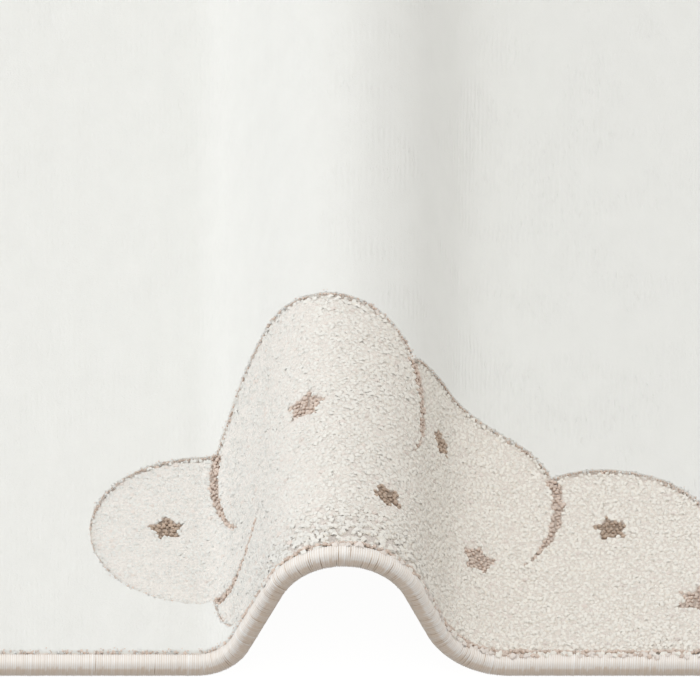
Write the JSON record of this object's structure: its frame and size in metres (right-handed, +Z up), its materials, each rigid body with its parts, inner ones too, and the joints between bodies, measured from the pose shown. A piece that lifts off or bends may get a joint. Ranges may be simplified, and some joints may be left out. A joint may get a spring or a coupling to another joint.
{
  "type": "kids rug",
  "caption": "Short plush kids rug with a lower curly cloud and an overcast yarn edge, lying on a floor with one standing wave from front to back.",
  "frame": {"origin": "centre of the rug's footprint as it lies, on the floor", "axes": "+Z up, -Y towards the short edge that shows in the picture, +X to the right of a viewer who faces that edge"},
  "size_m": [0.552, 0.9, 0.0864],
  "materials": {
    "plush_pile": "soft short plush pile with a faint sheen",
    "overcast_yarn": "fine turns of satiny yarn"
  },
  "bodies": {
    "root": {"rug_body": "plush_pile", "edge_binding": "overcast_yarn"}
  },
  "joints": []
}
